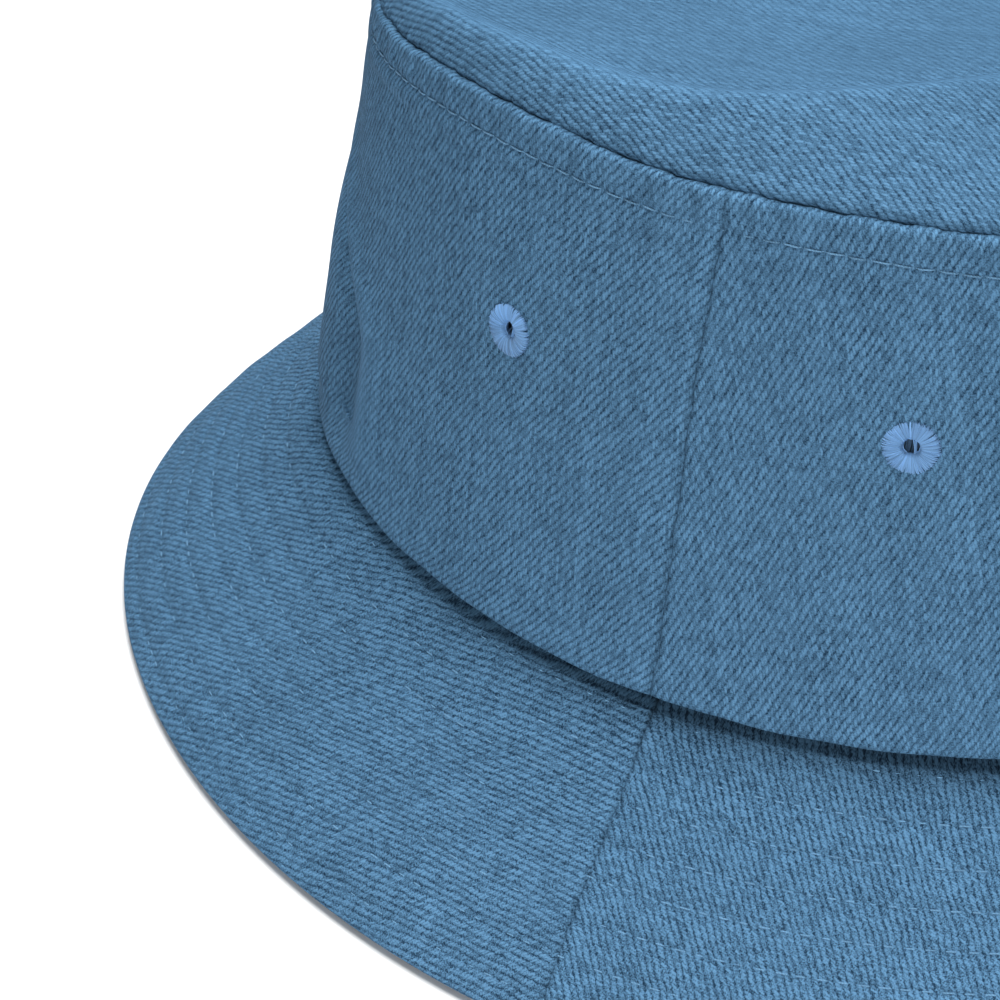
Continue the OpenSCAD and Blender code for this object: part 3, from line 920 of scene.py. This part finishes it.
def brim_theta(middle, places):
    return middle - PI / 2 - SEAM_LAP + (PI + 2 * SEAM_LAP) * places


def brim_uv(theta, along, middle, turn):
    return flat_cloth(theta, along, middle, 2 * PI * REACH / BRIM_SLANT, turn)


def brim_dip(share):
    """The brim's top sinks into a ditch beside the wall."""
    return -0.6 * hump(share, 0, 0.07)


def edge_rows(theta, face):
    """Rolls a ply's face over the brim's edge: face is 1 for the top ply and -1 for the underside.
    Each row is its out, its z and its slant distance."""
    middle_out, middle_z = brim_profile(theta, 1.0, BRIM_THICKNESS / 2)
    top_edge_out, top_edge_z = brim_profile(theta, 1.0, 0.0)
    half_out, half_z = top_edge_out - middle_out, top_edge_z - middle_z
    for angle in np.linspace(0, PI / 2, 7)[1:]:
        # The last row stops just short of the other ply's
        c, s = face * math.cos(angle), math.sin(angle) * (1 - 0.06 * (angle > 1.5))
        out, z = middle_out + half_out * c + half_z * s, middle_z + half_z * c - half_out * s
        yield out, z, BRIM_SLANT + BRIM_THICKNESS / 2 * angle


def ply_grids(theta, rows):
    """Grids of theta, out, z and slant distance from rows of (out, z, slant distance)."""
    out, z, along = zip(*rows)
    out, z = np.concatenate(out), np.concatenate(z)
    along = np.array(along)[:, None]
    return np.broadcast_to(theta, out.shape), out, z, np.broadcast_to(along, out.shape)


def brim_top(half, middle, turn):
    places, from_seam = seam_columns(BRIM_CLOTH)
    theta = brim_theta(middle, places)
    rows = [(*wall_profile(theta, height, FOLD + 0.05), -height) for height in (ALLOWANCE, 6, 3, 1.0)]
    # The bend from the turned-up allowance into the ditch beside the wall
    for t in (0.0, 0.25, 0.5, 0.75):
        share = DITCH * t
        out, z = brim_profile(theta, share, 0.0)
        z = z + brim_dip(share) * smooth(t, -0.4, 0.8)
        rows.append((out - FOLD * (1 - t) ** 1.5, z, share * BRIM_SLANT))
    for share in steps(DITCH, (1.0, 0.0098)):
        relief = brim_relief(theta, np.full_like(theta, share)) * fall(share, 0.96, 1.0)
        relief = relief + brim_dip(share) - edge_drop(from_seam) + 0.12 * hump(from_seam, 2.0, 1.8)
        rows.append((*brim_profile(theta, share, -relief), share * BRIM_SLANT))
    rows += edge_rows(theta, 1)
    theta, out, z, along = ply_grids(theta, rows)
    outer, inner = thickened(theta, out, z, PLY, -1)
    share = along / BRIM_SLANT
    # Darker along the stitch rows; painted shade in the side seam and a painted highlight on its ridges;
    # paler at the outer edge
    fade_and_shading = -0.08 * hump(row_distance(share), 0, 0.6) + 0.06 * smooth(share, 0.985, 1.0)
    fade_and_shading = fade_and_shading + 0.06 * hump(from_seam, 1.4, 0.9) - 0.26 * hump(from_seam, 0.0, 0.65)
    # Painted shade in the ditch beside the wall, deepest at the front of the hat
    shade = 0.1 + 0.32 * fall(np.sin(theta), -0.1, 0.85)
    from_wall = np.maximum(along, 0)
    fade_and_shading = fade_and_shading - shade * (0.5 * hump(from_wall, 0, 2.2) + hump(from_wall, 0, 5.5))
    softened = 0.42 * hump(degrees_of(theta), 105, 45) * smooth(share, 0.1, 0.5)
    uv = brim_uv(theta, along, middle, turn)
    piece = sheet(f"denim_brim_top_{half}", outer, inner, uv, fade_and_shading=fade_and_shading, softened=softened)
    dress(piece, f"brim_top_{half}", denim_brim)


def brim_under(half, middle, turn):
    places, from_seam = seam_columns(BRIM_CLOTH)
    theta = brim_theta(middle, places)
    depth = UNDER_PLY + PLY
    rows = [(*wall_profile(theta, height, depth), -height) for height in (ALLOWANCE - 1, 5, 2, 0.0)]
    for share in steps(0.0, (1.0, 0.0105)):
        ends = smooth(share, 0, 0.05) * fall(share, 0.94, 1.0)
        relief = 0.8 * brim_relief(theta, np.full_like(theta, share)) * ends - edge_drop(from_seam)
        depth = BRIM_THICKNESS + relief - brim_dip(share)
        rows.append((*brim_profile(theta, share, depth), share * BRIM_SLANT))
    rows += edge_rows(theta, -1)
    theta, out, z, along = ply_grids(theta, rows)
    outer, inner = thickened(theta, out, np.maximum(z, 0.0), PLY, 1)
    piece = sheet(f"denim_brim_under_{half}", outer, inner, brim_uv(theta, along, middle, turn))
    dress(piece, f"brim_under_{half}", denim_brim)


def brim_interlining(half, middle):
    theta = middle - PI / 2 + PI * np.linspace(0.001, 0.999, 240)[None, :]
    theta, share = np.broadcast_arrays(theta, steps(0.03, (0.95, 0.012))[:, None])
    relief, dip = 0.5 * brim_relief(theta, share), brim_dip(share)
    top = place(theta, *brim_profile(theta, share, PLY + 0.17 - relief - dip))
    low = place(theta, *brim_profile(theta, share, BRIM_UNDER - 0.17 - relief * 0.2 - dip))
    piece = sheet(f"brim_stiffener_{half}", top, low, brim_uv(theta, share * BRIM_SLANT, middle, 0))
    dress(piece, f"brim_interlining_{half}", stiffener)


# ---- Sweatband and tapes ----

def lining_ring(name, node, slot, material, heights, depth, thickness, start=0.0, end=2 * PI):
    """A band that follows the inside of the wall over a run of heights."""
    closed = end - start == 2 * PI
    cuts = np.linspace(start, end, 721 if closed else 24)[None, :]
    theta = cuts[:, :-1] if closed else cuts
    thickness = np.broadcast_to(thickness, heights.shape)[:, None]
    heights = heights[:, None]
    sway = 0.12 * ripple(arc(theta) / 6, heights / 8, 9)
    theta = np.broadcast_to(theta, sway.shape)
    near = place(theta, *wall_profile(theta, heights, depth + thickness - sway))
    far = place(theta, *wall_profile(theta, heights, depth))
    uv = np.stack(np.broadcast_arrays(arc(cuts), heights), -1)
    dress(sheet(name, near, far, uv, closed), node, material)


def sweatband():
    heights = steps(BAND_LOW, (BAND_HIGH, 0.8))
    hem = smooth(heights, BAND_HIGH - 6.6, BAND_HIGH - 5.6)
    thickness = 0.6 + 0.5 * hem - 0.12 * hump(heights, BAND_LOW + LOW_STITCH, 0.6)
    thickness -= 0.15 * hump(heights, BAND_HIGH - HIGH_STITCH, 0.6)
    lining_ring("twill_sweatband", "sweatband", "sweatband", band_twill, heights, BAND_DEPTH, thickness)


def tapes():
    low, high = box_mm("tip_seam_tape")
    heights = steps(low[2] - RISE, (high[2] - RISE - TOP_DROP, 0.7))
    lining_ring("tip_seam_binding", "tip_seam_tape", "seam_tape", tape_weave, heights, UNDER_PLY, TAPE)
    for node, middle in (("left_seam_tape", 0.0), ("right_seam_tape", PI)):
        low, high = box_mm(node)
        half = (high[1] - low[1]) / 2 / SIDE_RADIUS
        heights = steps(low[2] - RISE, (high[2] - RISE, 0.8))
        name, ends = node.replace("tape", "binding"), (middle - half, middle + half)
        lining_ring(name, node, "seam_tape", tape_weave, heights, TAPE_DEPTH, TAPE, *ends)


# ---- Stitching ----

STITCH_STEPS = np.linspace(0, 1, 9)
STITCH_ARCH = np.abs(2 * STITCH_STEPS - 1)
STITCH_TAPER = np.interp(STITCH_ARCH, [0.5, 0.75, 1.0], [1.0, 0.85, 0.55])
STITCH_POINTS = len(STITCH_STEPS) * STITCH_SIDES
ROUND = np.linspace(0, 2 * PI, 2881)


def stitch_run(line, normal, parameter, pitch, share, radius, lift=0.1, sink=0.22, uneven=0.02):
    """Separate stitches along a line: line and normal take parameter values, and lift may too."""
    points = line(parameter)
    lengths = np.concatenate([[0], np.cumsum(np.linalg.norm(np.diff(points, axis=0), axis=-1))])
    count = round(lengths[-1] / pitch)
    pitch = lengths[-1] / count
    starts = (np.arange(count) + 0.5 - share / 2) * pitch + rng.normal(0, 0.06, count)
    sizes = pitch * share * (1 + rng.normal(0, 0.07, count))
    at = np.interp(starts[:, None] + sizes[:, None] * STITCH_STEPS, lengths, parameter)
    lifts = lift(at) if callable(lift) else lift
    height = lifts - sink * STITCH_ARCH ** 3 + rng.normal(0, uneven, count)[:, None]
    return tubes(line(at) + normal(at) * height[..., None], STITCH_TAPER * radius)


def stitch_piece(name, node, runs):
    points, faces, uv = merge(runs)
    shades = rng.normal(0, 0.07, len(points) // STITCH_POINTS + 1)
    fade_and_shading = np.repeat(shades, STITCH_POINTS)[:len(points)]
    dress(make_object(name, points, faces, uv, fade_and_shading), node, seam_thread)


def outward_of(theta, slope=0.0):
    """Unit vectors that point out of the hat, tilted up by slope."""
    vector = np.stack([np.cos(theta), np.sin(theta), np.full_like(theta, slope)], -1)
    return vector / math.sqrt(1 + slope * slope)


def inward_of(theta):
    return -outward_of(theta)


def wall_line(height, depth):
    return lambda theta: place(theta, *wall_profile(theta, height, depth))


def tip_topstitch():
    height = WALL - TOPSTITCH_DROP

    def on_face(theta):
        relief = wall_relief(theta, height, CLEAR_OF_SEAM)
        return place(theta, *wall_profile(theta, height, -relief))

    shown = stitch_run(on_face, outward_of, ROUND, 3.2, 0.86, 0.14, 0.16)
    inside = stitch_run(wall_line(height, UNDER_PLY + TAPE), inward_of, ROUND, 3.2, 0.8, 0.2)
    stitch_piece("tip_seam_topstitch", "tip_topstitch", [shown, inside])


def brim_up(theta):
    return outward_of(theta, REACH / (RISE - EDGE_HEIGHT))


def brim_down(theta):
    return -brim_up(theta)


def brim_row(share, face):
    """The line of a row of stitching on the brim's top (face 1) or its underside (face -1)."""
    def at(theta):
        relief = brim_relief(theta, np.full_like(theta, share))
        depth = -relief if face > 0 else BRIM_THICKNESS + 0.8 * relief
        return place(theta, *brim_profile(theta, share, depth - brim_dip(share)))
    return at


def needle_lift(theta):
    """The needle thread sinks into the cloth at the back and stands clear at the front."""
    return -0.08 + 0.13 * fall(np.sin(theta), -0.7, 0.3)


def brim_stitching():
    top = [stitch_run(brim_row(ROW_SHARES[0], 1), brim_up, ROUND, 3.1, 0.6, 0.12, -0.08)]
    for share in ROW_SHARES[1:]:
        top.append(stitch_run(brim_row(share, 1), brim_up, ROUND, 3.1, 0.6, 0.13, needle_lift, 0.2, 0.05))
    stitch_piece("brim_row_stitches", "brim_needle_thread", top)
    low = [stitch_run(brim_row(s, -1), brim_down, ROUND, 3.0, 0.8, 0.19, 0.09) for s in ROW_SHARES[:-1]]
    stitch_piece("brim_row_stitches_underneath", "brim_bobbin_thread", low)


def lining_stitching():
    size = (3.0, 0.78, 0.2)
    low = stitch_run(wall_line(BAND_LOW + LOW_STITCH, BAND_DEPTH + 0.5), inward_of, ROUND, *size)
    high = stitch_run(wall_line(BAND_HIGH - HIGH_STITCH, BAND_DEPTH + 0.97), inward_of, ROUND, *size)
    stitch_piece("sweatband_stitches", "sweatband_stitching", [low, high])
    low_corner, high_corner = box_mm("seam_tape_stitching")
    heights = np.linspace(low_corner[2] - RISE, high_corner[2] - RISE, 200)
    row_gap = (high_corner[1] - 0.25) / SIDE_RADIUS

    def upright(theta):
        """A row of stitches up a seam tape."""
        return stitch_run(
            lambda height: place(theta, *wall_profile(theta, height, TAPE_DEPTH + TAPE)),
            lambda height: inward_of(np.full_like(height, theta)), heights, *size)

    runs = [upright(theta) for theta in (-row_gap, row_gap, PI - row_gap, PI + row_gap)]
    stitch_piece("seam_binding_stitches", "seam_tape_stitching", runs)


# ---- Care label ----

def care_label():
    low, high = box_mm("care_label")
    hinge = Vector(frame["joints"][0]["pos_m"]) / MM
    width = high[0] - low[0]
    across = np.linspace(-width / 2, width / 2, 41)[None, :]
    drop = steps(1.6, (-(hinge.z - low[2]), 0.6))[:, None]
    lean = math.atan2(TOP_IN_END, WALL)
    along, curl = np.broadcast_arrays(drop, across)
    sway = 0.5 * (curl / width) ** 2 + 0.25 * np.sin(along / 7) * fall(along, -14, -2)
    bow = 0.5 * fall(along, -20, -2) * np.cos(PI * curl / width)
    depth = -0.1 - sway - bow
    y = hinge.y - math.sin(lean) * along + depth * math.cos(lean)
    z = hinge.z + math.cos(lean) * along + depth * math.sin(lean)
    face = np.stack([curl, y, z], -1)
    hems = 0.22 * hump(np.abs(curl), width / 2, 0.8) + 0.2 * hump(along, drop.min(), 1.0)
    back = face + np.stack([0 * curl, 0.28 + hems, 0 * curl], -1)
    piece = sheet("blank_care_label", face, back, np.stack([curl, along], -1))
    piece.data.materials.append(label_weave)
    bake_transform(piece)
    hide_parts("care_label")
    label_tacks(hinge)


def label_tacks(hinge):
    """A bar of nine short stitches at each end of the label's sewn edge."""
    low, high = box_mm("care_label_tack")
    t = np.linspace(0, 1, 9)
    bars = []
    for middle in (2 - high[0], high[0] - 2):
        for x in np.linspace(middle - 1.8, middle + 1.8, 9):
            y = hinge.y - 0.25 - 0.12 * np.sin(PI * t)
            bars.append(np.stack([0 * t + x, y, hinge.z + 0.3 + 1.3 * t], -1))
    points, faces, uv = tubes(np.array(bars), 0.2)
    tack = make_object("care_label_bar_tacks", points, faces, uv, np.zeros(len(points)))
    dress(tack, "care_label_tack", seam_thread)


# ---- Building the hat ----

crown_tip()
wall_panel("front", FRONT, 3.5)
wall_panel("back", BACK, 10.5)
for found in EYELETS:
    eyelet_piece(found)
brim_top("front", FRONT, 12.0)
brim_top("back", BACK, 7.0)
brim_under("front", FRONT, 7.0)
brim_under("back", BACK, 7.0)
brim_interlining("front", FRONT)
brim_interlining("back", BACK)
sweatband()
tapes()
tip_topstitch()
brim_stitching()
lining_stitching()
care_label()


# ---- Floor, light and camera ----

def studio():
    bpy.ops.mesh.primitive_circle_add(vertices=96, radius=0.6, fill_type="NGON", location=(0, 0, -0.0004))
    floor = bpy.context.object
    floor.name = "floor"
    n = Nodes("floor_paper")
    n.finish((0.80, 0.80, 0.80, 1), 0.9)
    floor.data.materials.append(n.material)
    # The backdrop is white to the camera, and only a dim fill to the hat
    world = bpy.data.worlds.new("studio")
    world.use_nodes = True
    nodes, links = world.node_tree.nodes, world.node_tree.links
    seen = nodes.new("ShaderNodeLightPath")
    strength = nodes.new("ShaderNodeMapRange")
    strength.inputs["To Min"].default_value = 0.12
    strength.inputs["To Max"].default_value = 1.0
    links.new(seen.outputs["Is Camera Ray"], strength.inputs["Value"])
    nodes["Background"].inputs[0].default_value = (1, 1, 1, 1)
    links.new(strength.outputs[0], nodes["Background"].inputs[1])
    scene.world = world
    target = Vector((0, 0, 0.06))
    for name, place_at, size, power in (
        ("top", (0.0, 0.0, 1.7), 0.9, 32.0),
        ("fill", (-1.3, -0.6, 0.5), 0.9, 12.0),
        ("right", (0.5, -0.35, 1.6), 0.9, 9.0),
        ("behind", (0.9, 0.4, 1.5), 0.9, 6.0),
    ):
        data = bpy.data.lights.new(name, "AREA")
        data.shape = "DISK"
        data.size = size
        data.energy = power
        lamp = bpy.data.objects.new(name, data)
        lamp.location = place_at
        lamp.rotation_euler = (target - Vector(place_at)).to_track_quat("-Z", "Y").to_euler()
        scene.collection.objects.link(lamp)


CAMERA_AZIMUTH, CAMERA_ELEVATION = -66.90, 32.99
CAMERA_DISTANCE = 646.9
CAMERA_PIVOT = Vector((0, 0, 55))
CAMERA_AIM = (-66.26, -31.81)  # sideways and upward from the pivot
CAMERA_LENS = 140.54


def camera():
    azimuth, elevation = math.radians(CAMERA_AZIMUTH), math.radians(CAMERA_ELEVATION)
    back = Vector((
        math.sin(azimuth) * math.cos(elevation),
        -math.cos(azimuth) * math.cos(elevation),
        math.sin(elevation),
    ))
    right = (-back).cross(Vector((0, 0, 1))).normalized()
    up = right.cross(-back)
    eye = CAMERA_PIVOT + back * CAMERA_DISTANCE
    aim = CAMERA_PIVOT + right * CAMERA_AIM[0] + up * CAMERA_AIM[1]
    data = bpy.data.cameras.new("camera")
    data.lens = CAMERA_LENS
    data.clip_start, data.clip_end = 0.01, 50
    shot = bpy.data.objects.new("camera", data)
    shot.location = eye * MM
    shot.rotation_euler = (aim - eye).to_track_quat("-Z", "Y").to_euler()
    scene.collection.objects.link(shot)
    scene.camera = shot


studio()
camera()
scene.view_settings.view_transform = "Standard"
